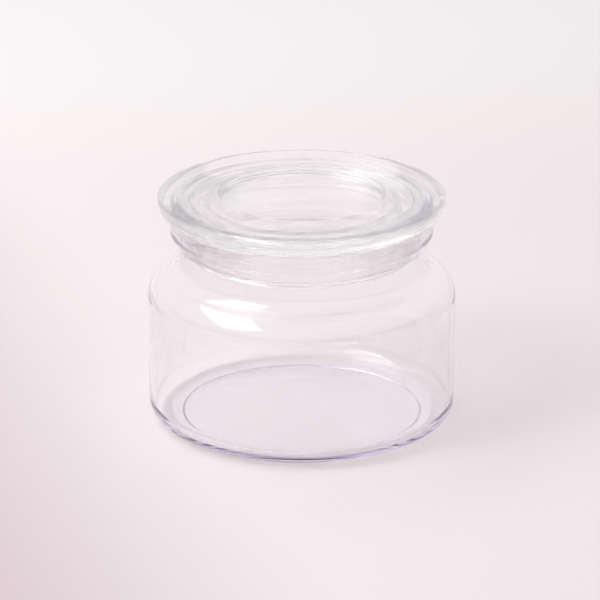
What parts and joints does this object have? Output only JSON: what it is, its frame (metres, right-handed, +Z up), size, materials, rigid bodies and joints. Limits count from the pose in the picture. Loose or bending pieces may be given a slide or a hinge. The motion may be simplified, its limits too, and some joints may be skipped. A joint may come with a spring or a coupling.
{
  "type": "candle jar",
  "caption": "Squat clear glass candle jar with a rounded shoulder and short neck, closed by a thick flat glass lid whose plug carries a clear soft seal ring.",
  "frame": {"origin": "on the jar's axis, on the surface that its foot ring stands on", "axes": "+Z up along the jar's axis of symmetry; X and Y are any two directions across it"},
  "size_m": [0.094, 0.094, 0.072],
  "materials": {
    "jar_glass": "clear soda-lime glass, fire polished",
    "lid_glass": "clear pressed glass with a faint green cast in its thick edge",
    "seal": "clear soft plastic"
  },
  "bodies": {
    "jar": {"jar_body": "jar_glass"},
    "seal": {"lid_seal": "seal"},
    "lid": {"lid": "lid_glass"}
  },
  "joints": [
    {"name": "lid_lift", "type": "slide", "parent": "jar", "child": "seal", "axis": [0, 0, 1], "range_m": [0, 0.08]},
    {"name": "lid_turn", "type": "hinge", "parent": "seal", "child": "lid", "pos_m": [0, 0, 0.0659], "axis": [0, 0, 1], "continuous": true}
  ]
}
